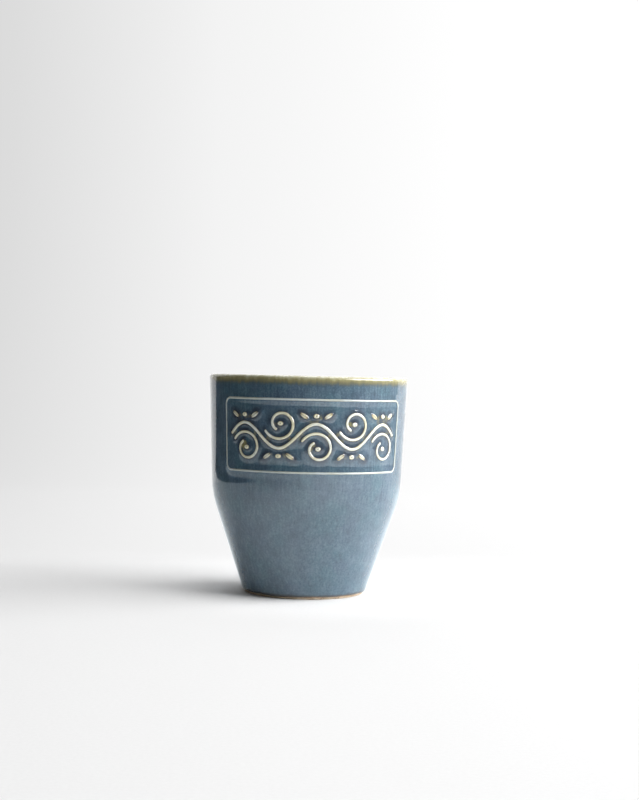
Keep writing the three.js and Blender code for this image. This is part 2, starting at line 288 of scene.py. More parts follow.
def cup_line(lift, steps):
    """Section points up the inside, from the middle of the floor to the foot of the lip's taper."""
    bend = FLOOR_ROUND - lift
    corner = arc(floor_radius, floor_rise, bend, -right_angle, LOWER_NORMAL, steps)
    middle = [(r, floor_top + lift) for r in np.linspace(0, floor_radius, steps // 2 + 1)[:-1]]
    return [*middle, *corner, *wall_line(corner[-1][1], taper_foot, CLAY_INNER + lift, 3 * steps)[1:]]


pot_line = [
    (0, RECESS_DEPTH),
    *arc(fillet_radius, RECESS_DEPTH - RECESS_FILLET, RECESS_FILLET, right_angle, 0, FILLET_STEPS),
    *arc(ring_inner, FOOT_ROUND, FOOT_ROUND, math.pi, 3 * right_angle, FILLET_STEPS),
    *arc(ring_outer, FOOT_ROUND, FOOT_ROUND, -right_angle, LOWER_NORMAL, FOOT_STEPS),
    *wall_line(2 * FOOT_ROUND, lip_height, CLAY_OUTER, WALL_STEPS),
    *arc(lip_radius, lip_height, CLAY_LIP / 2, UPPER_NORMAL, UPPER_NORMAL + math.pi, LIP_STEPS),
    *reversed(cup_line(0, CUP_STEPS)),
]
dressed(turned("stoneware_pot", pot_line), bare_clay(), "bare_clay", "clay_body")

# The slip trails: liquid clay piped on the damp pot, which the glaze then runs off, so that it turns
# from slate blue on the wall to amber on their flanks and cream on their crests. First, the frame.
PANEL_WIDTH = 0.0762
PANEL_HEIGHT = 0.0271
PANEL_DROP = 0.0089
PANEL_CORNER = 0.0024
PANEL_MARGIN = 0.0026
LINE_WIDTH = 0.0009
LINE_RISE = 0.86
FRAME_STEP = 0.001
FRAME_STATIONS = 256
FRAME_TUBE = 0.5
FRAME_VEIL = 0.5
CORNER_STEPS = 16
TRAIL_SIDES = 32
TRAIL_SMOOTH_ANGLE = math.radians(60)
HEADING_STEP = 1e-4
RELIEF = 0.00058
FLARE = 0.0003
FLAT_TOP = 0.18
SINK = 0.000008
UNDERSIDE = 0.0003
GROOVE_REACH = 0.0003
GROOVE_SHADE = 1.2
PANEL_MIDDLE = HEIGHT - PANEL_DROP - PANEL_HEIGHT / 2
PANEL_RADIUS = float(wall_radius(PANEL_MIDDLE, 0))
GLAZE_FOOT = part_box("outer_glaze")[0].z
LIP_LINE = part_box("lip_glaze")[0].z
SLATE = (
    (0.38, (0.039, 0.070, 0.100, 1)),
    (0.5, (0.057, 0.099, 0.137, 1)),
    (0.62, (0.090, 0.142, 0.182, 1)),
)
CLOUDS_PER_METRE = 170
CLOUD_SHARE = 0.32
SPECKS_PER_METRE = 1500
SPECK_SHARE = 0.40
STREAKS_PER_METRE = 1150
STREAK_SHARE = 0.28
STREAK_STRETCH = (1, 1, 0.12)
CAST = (
    (0.34, (1.05, 0.985, 1.02, 1)),
    (0.5, (1, 1, 1, 1)),
    (0.66, (0.91, 1.03, 1.0, 1)),
)
CASTS_PER_METRE = 95
POOLED = (0.024, 0.033, 0.052, 1)
POOL_CLOUDS = 0.78, 0.34
UMBER = (0.085, 0.05, 0.022, 1)
AMBER = (0.30, 0.21, 0.065, 1)
OLIVE = (0.24, 0.215, 0.085, 1)
STAIN_SHADES = (0.4, UMBER), (0.5, AMBER), (0.62, OLIVE)
STAIN_CROWDING = 0.45, 0.95
STAIN_PATCHES = 0.45, 0.72
STAIN_ON_SLIP = 0.6
TATTERS_PER_METRE = 420
LIP_SHADES = (
    (0.24, (0.085, 0.098, 0.086, 1)),
    (0.43, (0.14, 0.135, 0.08, 1)),
    (0.62, (0.235, 0.21, 0.10, 1)),
    (0.76, (0.36, 0.33, 0.19, 1)),
    (0.90, (0.46, 0.45, 0.32, 1)),
    (1.0, (0.66, 0.66, 0.57, 1)),
)
LIP_FADE = 0.0042
LIP_TURN = 0.0, 0.42
LIP_TATTERS = 0.0014
LIP_STREAKS = 0.0010
LIP_LOWERING = -0.0012
TAN = (0.34, 0.28, 0.18, 1)
STRAW = (0.50, 0.48, 0.37, 1)
CREAM = (0.69, 0.70, 0.64, 1)
SLIP_SHADES = (0.4, UMBER), (0.56, TAN), (0.72, STRAW), (0.9, CREAM)
SLIP_TURN = 0.4, 0.7
SLIP_TATTERS = 0.3
SLIP_COVER = 0.15
WARMED = (1.0, 0.91, 0.68, 1)
WARM_PATCHES = 0.44, 0.6
WARMTH = 0.8
VEIL = (0.24, 0.31, 0.36, 1)
EDGE_BROWN = (0.034, 0.020, 0.013, 1)
EDGE_HEIGHTS = 0.0026, 0.0012
EDGE_TATTERS = 0.0006
GLAZE_IOR = 1.82
GLOSS_MOTTLE = 0.35, 0.65
GLOSS_ROUGHNESS = 0.04, 0.08
SWELLS_PER_METRE = 170
SWELL_DEPTH = 0.00002
PEEL_SHARE = 0.06
trails = []


def breaking_glaze(name, veil=0.0):
    """A glossy reactive glaze, slate blue where it lies thick, amber and cream where it runs thin.

    Where a trail is too low to shed all of it, some stays on the crest as a bluish veil.
    """
    material, tree, shader, place = new_material(name)
    height = add(tree, "ShaderNodeSeparateXYZ", {"Vector": place}).outputs["Z"]
    thin, pool, crowd = (
        add(tree, "ShaderNodeAttribute", attribute_name=attribute).outputs["Fac"]
        for attribute in ("thin", "pool", "crowd")
    )
    cloud = noise(tree, place, CLOUDS_PER_METRE, detail=3, roughness=0.6)
    speck = noise(tree, place, SPECKS_PER_METRE, detail=2, roughness=0.65)
    streak = noise(tree, place, STREAKS_PER_METRE, detail=2, stretch=STREAK_STRETCH)
    tint = noise(tree, place, CASTS_PER_METRE, detail=2)
    ragged = noise(tree, place, TATTERS_PER_METRE, detail=3)
    mottle = math_node(tree, "MULTIPLY", streak, STREAK_SHARE)
    mottle = math_node(tree, "MULTIPLY_ADD", speck, SPECK_SHARE, mottle)
    mottle = math_node(tree, "MULTIPLY_ADD", cloud, CLOUD_SHARE, mottle)
    slate = ramp(tree, mottle, *SLATE)
    slate = mixed(tree, 1.0, slate, ramp(tree, tint, *CAST), blend="MULTIPLY")
    pooled = math_node(tree, "MULTIPLY", pool, span(tree, cloud, *POOL_CLOUDS))
    slate = mixed(tree, pooled, slate, POOLED)
    stained = span(tree, math_node(tree, "MULTIPLY", pool, crowd), *STAIN_CROWDING)
    stained = math_node(tree, "MULTIPLY", stained, span(tree, ragged, *STAIN_PATCHES))
    stain = ramp(tree, ragged, *STAIN_SHADES)
    slate = mixed(tree, stained, slate, stain)
    wobble = math_node(tree, "MULTIPLY_ADD", ragged, LIP_TATTERS, LIP_LOWERING)
    wobble = math_node(tree, "MULTIPLY_ADD", streak, LIP_STREAKS, wobble)
    run = math_node(tree, "ADD", height, wobble)
    lip = span(tree, run, HEIGHT - LIP_FADE, HEIGHT, smooth=False)
    colour = mixed(tree, span(tree, lip, *LIP_TURN), slate, ramp(tree, lip, *LIP_SHADES))
    bared = math_node(tree, "SUBTRACT", thin, SLIP_COVER)
    bared = math_node(tree, "MULTIPLY_ADD", ragged, SLIP_TATTERS, bared)
    slip = ramp(tree, bared, *SLIP_SHADES)
    warmth = math_node(tree, "MULTIPLY", span(tree, tint, *WARM_PATCHES), WARMTH)
    slip = mixed(tree, warmth, slip, WARMED, blend="MULTIPLY")
    slip = mixed(tree, math_node(tree, "MULTIPLY", stained, STAIN_ON_SLIP), slip, stain)
    slip = mixed(tree, veil, slip, VEIL)
    colour = mixed(tree, span(tree, bared, *SLIP_TURN), colour, slip)
    edge = math_node(tree, "MULTIPLY_ADD", ragged, EDGE_TATTERS, height)
    colour = mixed(tree, span(tree, edge, *EDGE_HEIGHTS), colour, EDGE_BROWN)
    tree.links.new(colour, shader.inputs["Base Color"])
    limits = zip(("From Min", "From Max", "To Min", "To Max"), (*GLOSS_MOTTLE, *GLOSS_ROUGHNESS))
    gloss = add(tree, "ShaderNodeMapRange", {"Value": mottle, **dict(limits)})
    tree.links.new(gloss.outputs["Result"], shader.inputs["Roughness"])
    shader.inputs["IOR"].default_value = GLAZE_IOR
    swell = noise(tree, place, SWELLS_PER_METRE, detail=1)
    peel = math_node(tree, "MULTIPLY_ADD", speck, PEEL_SHARE, swell)
    bump = add(tree, "ShaderNodeBump", {"Height": peel, "Strength": 1.0, "Distance": SWELL_DEPTH})
    tree.links.new(bump.outputs[0], shader.inputs["Normal"])
    return material


def on_wall(x, y, stand):
    """Places on the panel: x round the wall, y up it and stand out from the glaze."""
    height = PANEL_MIDDLE + y
    radius = wall_radius(height, -stand)
    return np.stack([radius * np.sin(x / PANEL_RADIUS), -radius * np.cos(x / PANEL_RADIUS), height], -1)


def set_attribute(piece, name, values):
    """A value on each of the piece's points, for its material."""
    attribute = piece.data.attributes.new(name, "FLOAT", "POINT")
    attribute.data.foreach_set("value", values.astype(np.float32))


def laid(piece, path, section, t, across, top):
    """The piece's points go to their trail: t along its path, across from -1 to 1, and top or under."""
    x, y = path(t)
    x0, y0 = path(t - HEADING_STEP)
    x1, y1 = path(t + HEADING_STEP)
    length = np.hypot(x1 - x0, y1 - y0)
    reach, rise, groove = section(t)
    side = across * reach
    flank = np.clip((np.abs(across) - FLAT_TOP) / (1 - FLAT_TOP), 0, 1)
    crest = rise * (0.5 + 0.5 * np.cos(math.pi * flank))
    hollowed = groove * np.exp(-((side / GROOVE_REACH) ** 2))
    under = UNDERSIDE * np.sqrt(np.maximum(1 - across**2, 0))
    stand = np.where(top, RELIEF * crest * (1 - hollowed), -under) - SINK
    places = on_wall(x - side * (y1 - y0) / length, y + side * (x1 - x0) / length, stand)
    piece.data.vertices.foreach_set("co", places.ravel())
    piece.data.update()
    set_attribute(piece, "thin", np.where(top, crest - GROOVE_SHADE * hollowed, 0))
    bpy.ops.object.mode_set(mode="EDIT")
    bpy.ops.mesh.select_all(action="SELECT")
    bpy.ops.mesh.normals_make_consistent(inside=False)
    bpy.ops.object.mode_set(mode="OBJECT")
    bpy.ops.object.shade_smooth_by_angle(angle=TRAIL_SMOOTH_ANGLE)


def ring_path(t):
    """The frame's line: a rectangle with round corners, where its points crowd."""
    corners = ((1, -1), (1, 1), (-1, 1), (-1, -1))
    points = []
    for i, (right, up) in enumerate(corners):
        x = right * (PANEL_WIDTH / 2 - PANEL_CORNER)
        y = up * (PANEL_HEIGHT / 2 - PANEL_CORNER)
        points += arc(x, y, PANEL_CORNER, (i - 1) * right_angle, i * right_angle, CORNER_STEPS)
    line = np.array([*points, points[0]])
    steps = np.maximum(np.hypot(*np.diff(line, axis=0).T), FRAME_STEP)
    run = np.concatenate([[0], np.cumsum(steps)])
    along = np.mod(t, 1) * run[-1]
    return np.interp(along, run, line[:, 0]), np.interp(along, run, line[:, 1])


def ring_section(t):
    """The frame's reach to each side, its height and the depth of its groove, which is none."""
    return np.full_like(t, LINE_WIDTH / 2 + FLARE), np.full_like(t, LINE_RISE), np.zeros_like(t)


bpy.ops.object.select_all(action="DESELECT")
bpy.ops.mesh.primitive_torus_add(
    major_segments=FRAME_STATIONS,
    minor_segments=TRAIL_SIDES,
    major_radius=1,
    minor_radius=FRAME_TUBE,
)
slip_frame = bpy.context.object
slip_frame.name = "slip_frame"
x, y, z = points_of(slip_frame).T
around = np.arctan2(y, x) / (2 * math.pi) + 0.5
outward = (np.hypot(x, y) - 1) / FRAME_TUBE
laid(slip_frame, ring_path, ring_section, around, outward, z > -TINY)
dressed(slip_frame, breaking_glaze("veiled_slip", veil=FRAME_VEIL), "cream_slip", "panel_frame")

# The vine scroll inside the frame: a waving vine, a tendril curled round a berry in each hollow of
# its wave, and a berry between two leaflets on each crest, all piped in one go with the frame.
VINE_WIDTH = 0.0014
VINE_SWING = 0.0046
HALF_WAVES = 5
TENDRIL_WIDTH = 0.0012
TENDRIL_DROP = 0.0092
TENDRIL_SHIFT = 0.0008
TENDRIL_RADII = 0.0066, 0.0026
TENDRIL_START = math.radians(158)
TENDRIL_TURN = math.radians(400)
TENDRIL_TIGHTENING = 0.8
TRAIL_SPACING = 0.0011
LEAFLET_LENGTH = 0.0048
LEAFLET_WIDTH = 0.0021
LEAFLET_RISE = math.radians(34)
BERRY_DIAMETER = 0.0023
TRAIL_STEP = 0.0002
TRAIL_END_RISE = 0.6
TRAIL_END_STEP = 1e-3
TRAIL_LENGTH_POINTS = 200
SHORT_TRAIL_STATIONS = 48
TENDRIL_STATIONS = 150
VINE_STATIONS = 260
VINE_GROOVE = 0.12
LEAFLET_GROOVE = 0.3
BERRY_DIMPLE = 0.4
vine_end = PANEL_WIDTH / 2 - LINE_WIDTH / 2 - PANEL_MARGIN
half_wave = 2 * vine_end / HALF_WAVES
slip = breaking_glaze("cream_slip")


def piped(name, node, path, width, groove, stations=SHORT_TRAIL_STATIONS, kind="line"):
    """A trail with two ends: a line or a berry with round ones, or a leaf with points."""
    steps = np.diff(path(np.linspace(0, 1, TRAIL_LENGTH_POINTS)))
    length = float(np.sum(np.hypot(*steps)))
    overrun = FLARE / length

    def share_at(t):
        if kind == "leaf":
            return 4 * t * (1 - t)
        from_end = np.minimum(t, 1 - t) * length / (width / 2)
        return np.sqrt(1 - (1 - np.minimum(from_end, 1)) ** 2)

    def run_out(t):
        inside = np.clip(t, 0, 1)
        x, y = path(inside)
        x0, y0 = path(np.clip(inside - TRAIL_END_STEP, 0, 1))
        x1, y1 = path(np.clip(inside + TRAIL_END_STEP, 0, 1))
        heading = np.hypot(x1 - x0, y1 - y0)
        past = (t - inside) * length
        return x + past * (x1 - x0) / heading, y + past * (y1 - y0) / heading

    def section(t):
        inside = np.clip(t, 0, 1)
        share = share_at(inside)
        past = np.abs(t - inside) / overrun
        flare = FLARE * np.sqrt(np.maximum(1 - past**2, 0))
        dimple = np.exp(-(((t - 0.5) * length / GROOVE_REACH) ** 2))
        hollow = groove * (dimple if kind == "berry" else share)
        return share * width / 2 + flare, share**TRAIL_END_RISE, hollow

    bpy.ops.object.select_all(action="DESELECT")
    bpy.ops.mesh.primitive_uv_sphere_add(segments=TRAIL_SIDES, ring_count=stations, radius=1)
    piece = bpy.context.object
    piece.name = name
    x, y, z = points_of(piece).T
    even = np.arccos(np.clip(-z, -1, 1)) / math.pi
    crowded = (1 - np.cos(math.pi * even)) / 2
    t = (even + crowded) / 2 * (1 + 2 * overrun) - overrun
    rim = np.hypot(x, y)
    across = np.divide(x, rim, out=np.zeros_like(x), where=rim > TINY)
    laid(piece, run_out, section, t, across, y > -TINY)
    dressed(piece, slip, "cream_slip", node)
    middles = np.linspace(0, 1, int(length / TRAIL_STEP) + 2)
    trails.append((piece, *path(middles), share_at(middles) * width / 2))


def vine_path(t):
    """The vine's wave, from one margin of the panel to the other."""
    return (2 * t - 1) * vine_end, VINE_SWING * np.sin(math.pi * HALF_WAVES * t)


def tendril_path(x, y, up):
    """A spiral about a berry, right way up under a crest or upside down over a trough."""

    def path(t):
        angle = TENDRIL_START - TENDRIL_TURN * t
        outer, inner = TENDRIL_RADII
        radius = outer + (inner - outer) * t**TENDRIL_TIGHTENING
        return x + radius * np.cos(angle), y + up * radius * np.sin(angle)

    return path


def straight_path(x, y, run, rise):
    """A straight line from a place."""
    return lambda t: (x + run * t, y + rise * t)


def berry(name, node, x, y):
    """A drop of slip."""
    path = straight_path(x - BERRY_DIAMETER / 2, y, BERRY_DIAMETER, 0)
    piped(name, node, path, BERRY_DIAMETER, BERRY_DIMPLE, kind="berry")


piped("slip_vine", "vine", vine_path, VINE_WIDTH, VINE_GROOVE, VINE_STATIONS)
off_vine = VINE_WIDTH / 2 + TRAIL_SPACING + BERRY_DIAMETER / 2
for number in range(1, HALF_WAVES + 1):
    up = 1 if number % 2 else -1
    crest_x = (number - 0.5) * half_wave - vine_end
    crest_y = up * VINE_SWING
    curl = crest_x + TENDRIL_SHIFT, crest_y - up * TENDRIL_DROP
    spiral = tendril_path(*curl, up)
    tendril = f"tendril_{number}"
    piped(f"slip_{tendril}", tendril, spiral, TENDRIL_WIDTH, VINE_GROOVE, TENDRIL_STATIONS)
    berry(f"slip_tendril_berry_{number}", f"tendril_berry_{number}", *curl)
    berry(f"slip_crest_berry_{number}", f"crest_berry_{number}", crest_x, crest_y + up * off_vine)
    for hand, lean in (("left", -1), ("right", 1)):
        run, rise = lean * math.cos(LEAFLET_RISE), up * math.sin(LEAFLET_RISE)
        root = crest_x + off_vine * run, crest_y + off_vine * rise
        vein = straight_path(*root, LEAFLET_LENGTH * run, LEAFLET_LENGTH * rise)
        leaflet = f"{hand}_leaflet_{number}"
        piped(f"slip_{leaflet}", leaflet, vein, LEAFLET_WIDTH, LEAFLET_GROOVE, kind="leaf")

# The outer coat: slate-blue glaze poured over the pot, down to a rolled edge above the bare foot.
# It pools against the trails. The field inside the frame is a coat of its own, as in the solids.
COAT_SHELL = 0.0003
EDGE_ROLL = 0.00045
EDGE_ROLL_POINTS = 8
EDGE_SWELL = 0.00006
EDGE_SWELL_RISE = 0.001
EDGE_SWELL_REACH = 0.0007
EDGE_WANDER = 0.00011
EDGE_WANDER_REACH = 0.001
EDGE_WAVES = (3, 1.0, 0.5), (7, 0.6, 1.9), (13, 0.4, 0.0)
LOWER_ROWS = 50
UPPER_ROWS = 76
POOL_REACH = 0.0012
POOL_END = 3 * POOL_REACH
CROWD_REACH = 0.002
BANK = 0.0002
BANK_REACH = 0.0012
slate = breaking_glaze("slate_glaze")


def coat_line():
    """Section points of the coat's outer face, from its rolled edge up to the lip's band."""
    turn = np.linspace(0, right_angle, EDGE_ROLL_POINTS)
    roll_height = GLAZE_FOOT + EDGE_ROLL * (1 - np.cos(turn))
    roll = zip(wall_radius(roll_height, OUTER_COAT * (1 - np.sin(turn))), roll_height)
    lower = np.linspace(GLAZE_FOOT + EDGE_ROLL, SHOULDER_HEIGHT, LOWER_ROWS)[1:]
    upper = np.linspace(SHOULDER_HEIGHT, LIP_LINE, UPPER_ROWS)[1:]
    heights = np.concatenate([lower, upper])
    above = heights - GLAZE_FOOT - EDGE_SWELL_RISE
    swell = EDGE_SWELL * np.exp(-((above / EDGE_SWELL_REACH) ** 2))
    return [*roll, *zip(wall_radius(heights, -swell), heights)]


def panel_gap(x, y):
    """How far a place on the wall is outside the frame's line, or inside it where negative."""
    over_x = np.abs(x) - PANEL_WIDTH / 2 + PANEL_CORNER
    over_y = np.abs(y) - PANEL_HEIGHT / 2 + PANEL_CORNER
    corner = np.hypot(np.maximum(over_x, 0), np.maximum(over_y, 0))
    return corner + np.minimum(np.maximum(over_x, over_y), 0) - PANEL_CORNER


def unrolled(places):
    """Places on the wall as x round it from the panel's middle and y up it."""
    x, y, z = places.T
    return np.arctan2(x, -y) * PANEL_RADIUS, z - PANEL_MIDDLE


def trail_gaps(x, y):
    """How far places on the panel are from the nearest trail inside the frame, and from the next."""
    gaps = np.full((2, len(x)), HEIGHT)
    for _, trail_x, trail_y, half in trails:
        margin = half.max() + POOL_END
        near = (x > trail_x.min() - margin) & (x < trail_x.max() + margin)
        near &= (y > trail_y.min() - margin) & (y < trail_y.max() + margin)
        away = np.hypot(x[near, None] - trail_x, y[near, None] - trail_y) - half
        gaps[:, near] = np.sort([*gaps[:, near], away.min(axis=1)], axis=0)[:2]
    return np.maximum(gaps, 0)


def set_pools(piece, nearest, second):
    """How the glaze pools on a piece: near a trail, and crowded between two of them, from 0 to 1."""
    set_attribute(piece, "pool", np.exp(-((nearest / POOL_REACH) ** 2)))
    set_attribute(piece, "crowd", np.exp(-((second / CROWD_REACH) ** 2)))


def banked(piece):
    """The glaze on a piece pools, and banks up against the trails and the frame."""
    places = points_of(piece)
    x, y = unrolled(places)
    nearest, second = trail_gaps(x, y)
    to_frame = np.maximum(np.abs(panel_gap(x, y)) - LINE_WIDTH / 2, 0)
    bank = BANK * np.exp(-((np.minimum(nearest, to_frame) / BANK_REACH) ** 2))
    places[:, :2] *= (1 + bank / np.hypot(places[:, 0], places[:, 1]))[:, None]
    piece.data.vertices.foreach_set("co", places.ravel())
    piece.data.update()
    set_pools(piece, nearest, second)


def thickened(piece, thickness):
    """A sheet becomes a closed shell, its outer face where it was."""
    bpy.ops.object.select_all(action="DESELECT")
    bpy.context.view_layer.objects.active = piece
    piece.select_set(True)
    solidify = piece.modifiers.new("shell", "SOLIDIFY")
    solidify.thickness = thickness
    solidify.offset = -1
    bpy.ops.object.modifier_apply(modifier=solidify.name)
    bpy.ops.object.shade_smooth_by_angle(angle=SMOOTH_ANGLE)


slate_coat = turned("slate_coat", coat_line())
places = points_of(slate_coat)
angle = np.arctan2(places[:, 0], -places[:, 1])
wander = EDGE_WANDER * sum(share * np.sin(waves * angle + start) for waves, share, start in EDGE_WAVES)
places[:, 2] += wander * np.exp(-(((places[:, 2] - GLAZE_FOOT) / EDGE_WANDER_REACH) ** 2))
slate_coat.data.vertices.foreach_set("co", places.ravel())
centres = np.empty(len(slate_coat.data.polygons) * 3)
slate_coat.data.polygons.foreach_get("center", centres)
inside_frame = panel_gap(*unrolled(centres.reshape(-1, 3))) < 0
bpy.ops.object.mode_set(mode="EDIT")
bpy.ops.mesh.select_mode(type="FACE")
bpy.ops.mesh.select_all(action="DESELECT")
bpy.ops.object.mode_set(mode="OBJECT")
slate_coat.data.polygons.foreach_set("select", inside_frame)
bpy.ops.object.mode_set(mode="EDIT")
bpy.ops.mesh.separate(type="SELECTED")
bpy.ops.mesh.select_mode(type="VERT")
bpy.ops.object.mode_set(mode="OBJECT")
panel_coat = next(o for o in bpy.context.selected_objects if o != slate_coat)
panel_coat.name = "panel_coat"
bpy.ops.object.select_all(action="DESELECT")
bpy.context.view_layer.objects.active = panel_coat
bpy.ops.object.mode_set(mode="EDIT")
bpy.ops.mesh.select_all(action="SELECT")
bpy.ops.mesh.subdivide(number_cuts=1)
bpy.ops.object.mode_set(mode="OBJECT")
for piece, node in ((slate_coat, "outer_glaze"), (panel_coat, "panel_glaze")):
    banked(piece)
    thickened(piece, COAT_SHELL)
    dressed(piece, slate, "slate_glaze", node)
for piece in (slip_frame, *[trail[0] for trail in trails]):
    set_pools(piece, *trail_gaps(*unrolled(points_of(piece))))

# The lip's coat: the same glaze, run thin off the edge in the firing, so that it turns amber and
# cream. It meets the outer coat and the inside coat at the foot of its band.
LINER_OUTER = CLAY_INNER + COAT_GAP
LINER_INNER = LINER_OUTER + INNER_COAT
LIP_SEAT = CLAY_LIP / 2 + COAT_GAP
LIP_ROUND_STEPS = 28
LIP_ROWS = 7
amber = breaking_glaze("amber_glaze")


def taper_radius(height, depth):
    """The inner wall's radius where the clay thins to the lip."""
    thinned = (CLAY_WALL - CLAY_LIP) * (height - taper_foot) / (lip_height - taper_foot)
    return upper_radius(height, depth - thinned)


def lip_face(angle):
    """The lip's round over the glaze, from the outer coat's thickness to the inner one's."""
    across = math.cos(angle - UPPER_NORMAL)
    side = OUTER_COAT if across > 0 else INNER_COAT
    bend = LIP_SEAT + LIP_COAT + (side - LIP_COAT) * across**2
    return lip_radius + bend * math.cos(angle), lip_height + bend * math.sin(angle)


lip_turn = np.linspace(UPPER_NORMAL, UPPER_NORMAL + math.pi, LIP_ROUND_STEPS + 1)
lip_rows = np.linspace(LIP_LINE, lip_height, LIP_ROWS)[:-1]
lip_line = [
    *[(upper_radius(z, 0), z) for z in lip_rows],
    *[lip_face(a) for a in lip_turn],
    *[(taper_radius(z, LINER_INNER), z) for z in reversed(lip_rows)],
    (taper_radius(LIP_LINE, LINER_OUTER), LIP_LINE),
    *arc(lip_radius, lip_height, LIP_SEAT, UPPER_NORMAL + math.pi, UPPER_NORMAL, LIP_STEPS),
    (upper_radius(LIP_LINE, OUTER_COAT), LIP_LINE),
    (upper_radius(LIP_LINE, 0), LIP_LINE),
]
dressed(turned("lip_coat", lip_line), amber, "amber_glaze", "lip_glaze")

# The inside coat: the same slate-blue glaze, swilled round the pot and poured out again, over the
# floor and up the wall to the lip's band.
LINER_STEPS = 16
TAPER_ROWS = 12
taper_rows = np.linspace(taper_foot, LIP_LINE, TAPER_ROWS)[1:]
liner_line = [
    *cup_line(COAT_GAP + INNER_COAT, LINER_STEPS),
    *[(taper_radius(z, LINER_INNER), z) for z in taper_rows],
    (taper_radius(LIP_LINE, LINER_OUTER), LIP_LINE),
    *reversed(cup_line(COAT_GAP, CUP_STEPS)),
]
dressed(turned("liner_coat", liner_line), slate, "slate_glaze", "inner_glaze")

# The base coat: a disc of the slate-blue glaze, brushed into the recess under the foot. Its round
# edge stays clear of the bare ring, so that the mug doesn't stick to the kiln shelf.
BASE_COAT = 0.00035
BASE_ROWS = 8
BASE_EDGE_STEPS = 6
base_top = RECESS_DEPTH - COAT_GAP
base_flat = fillet_radius - BASE_COAT
base_line = [
    *[(r, base_top - BASE_COAT) for r in np.linspace(0, base_flat, BASE_ROWS)[:-1]],
    *arc(base_flat, base_top, BASE_COAT, -right_angle, 0, BASE_EDGE_STEPS),
    (0, base_top),
]
dressed(turned("base_coat", base_line), slate, "slate_glaze", "base_glaze")

# The set: a white paper sweep, a wide window of soft light at the right and a soft light overhead, in
# a room that is darker to the left. The camera sees a sheet that runs on past the table's edges, and
# the glaze mirrors a smaller one that ends where the table does.
# Both sheets carry painted light: the one the camera sees glows, greyed by a painted shade to its left,
# and the one the glaze mirrors is painted lighter and darker along its length.
SWEEP_BACK = 0.75
SWEEP_BEND = 0.3
SWEEP_TOP = 2.2
SWEEP_STEPS = 24
SHEET_FRONT = -3.0
SHEET_SIDES = -3.0, 3.0
SHEET_DROP = 0.00004
TABLE_FRONT = -0.4
TABLE_SIDES = -0.31, 0.55
TABLE_DROP = 0.0001
BACKDROP_SIDES = -1.0, 2.0
PAPER_ROUGHNESS = 0.9
PAPER_SHINE = 0.1
PAPER_FIBRES_PER_METRE = 900
# Painted light: the paper the camera sees glows a little off the mug's foot, by a share and in a grey,
# and fully further off.
CONTACT_REACH = 0.03, 0.08
FLOOR_GLOW = 0.54
FLOOR_GLOW_GREY = 0.81
GLOW_REACH = 0.4, 1.1
# Painted shade: how far back the wall glows in its greys alone, and how far left and right the grey of
# the glow reaches.
PAINTED_SHADE_DEPTH = 0.0, 0.14
PAINTED_SHADE_REACH = -1.2, 0.2
# Painted light on the paper the glaze mirrors: its greys along the table and up the wall stand in for
# how the lights fall on them.
PAINTED_LIGHT_REACH = -0.18, 0.42
TABLE_PAINTED_LIGHT = (
    (0.0, (0.50, 0.54, 0.555, 1)),
    (0.4, (0.91, 0.96, 0.99, 1)),
    (0.6, (0.85, 0.90, 0.93, 1)),
    (1.0, (0.58, 0.62, 0.64, 1)),
)
WALL_REACH = 0.15, 0.5
WINDOW_PLACE = (1.14, -0.23, 0.63)
WINDOW_SIZE = 1.5, 0.8
WINDOW_POWER = 42
OVERHEAD_PLACE = (0.1, 0.1, 1.3)
OVERHEAD_SIZE = 1.2, 1.0
OVERHEAD_POWER = 7.2


def grey(level):
    """A grey from 0, black, to 1, white."""
    return level, level, level, 1


BLACK = grey(0)
WHITE = grey(1)
PAPER_SHADES = (0.3, grey(0.74)), (0.7, grey(0.78))
# Painted shade: the greys of the glow across the mug's left, white again at both ends.
PAINTED_SHADE = (0.0, WHITE), (0.57, grey(0.60)), (0.71, grey(0.716)), (0.84, grey(0.892)), (1.0, WHITE)
# Painted light on the mirrored wall: lighter to the left, greyer to the right.
WALL_PAINTED_LIGHT = (0.0, grey(0.85)), (0.4, grey(0.70)), (0.6, grey(0.62)), (1.0, grey(0.56))
ROOM_TONES = (
    (0.0, grey(0.06)),
    (0.25, grey(0.05)),
    (0.45, grey(0.22)),
    (0.75, grey(0.3)),
    (0.86, grey(0.38)),
    (0.95, grey(0.6)),
    (1.0, grey(0.85)),
)


def new_paper(name):
    """Matt paper: its material, tree and shader, and its places, their way right and their way back."""
    material, tree, shader, place = new_material(name)
    shader.inputs["Roughness"].default_value = PAPER_ROUGHNESS
    shader.inputs["Specular IOR Level"].default_value = PAPER_SHINE
    split = add(tree, "ShaderNodeSeparateXYZ", {"Vector": place})
    return material, tree, shader, place, split.outputs["X"], split.outputs["Y"]


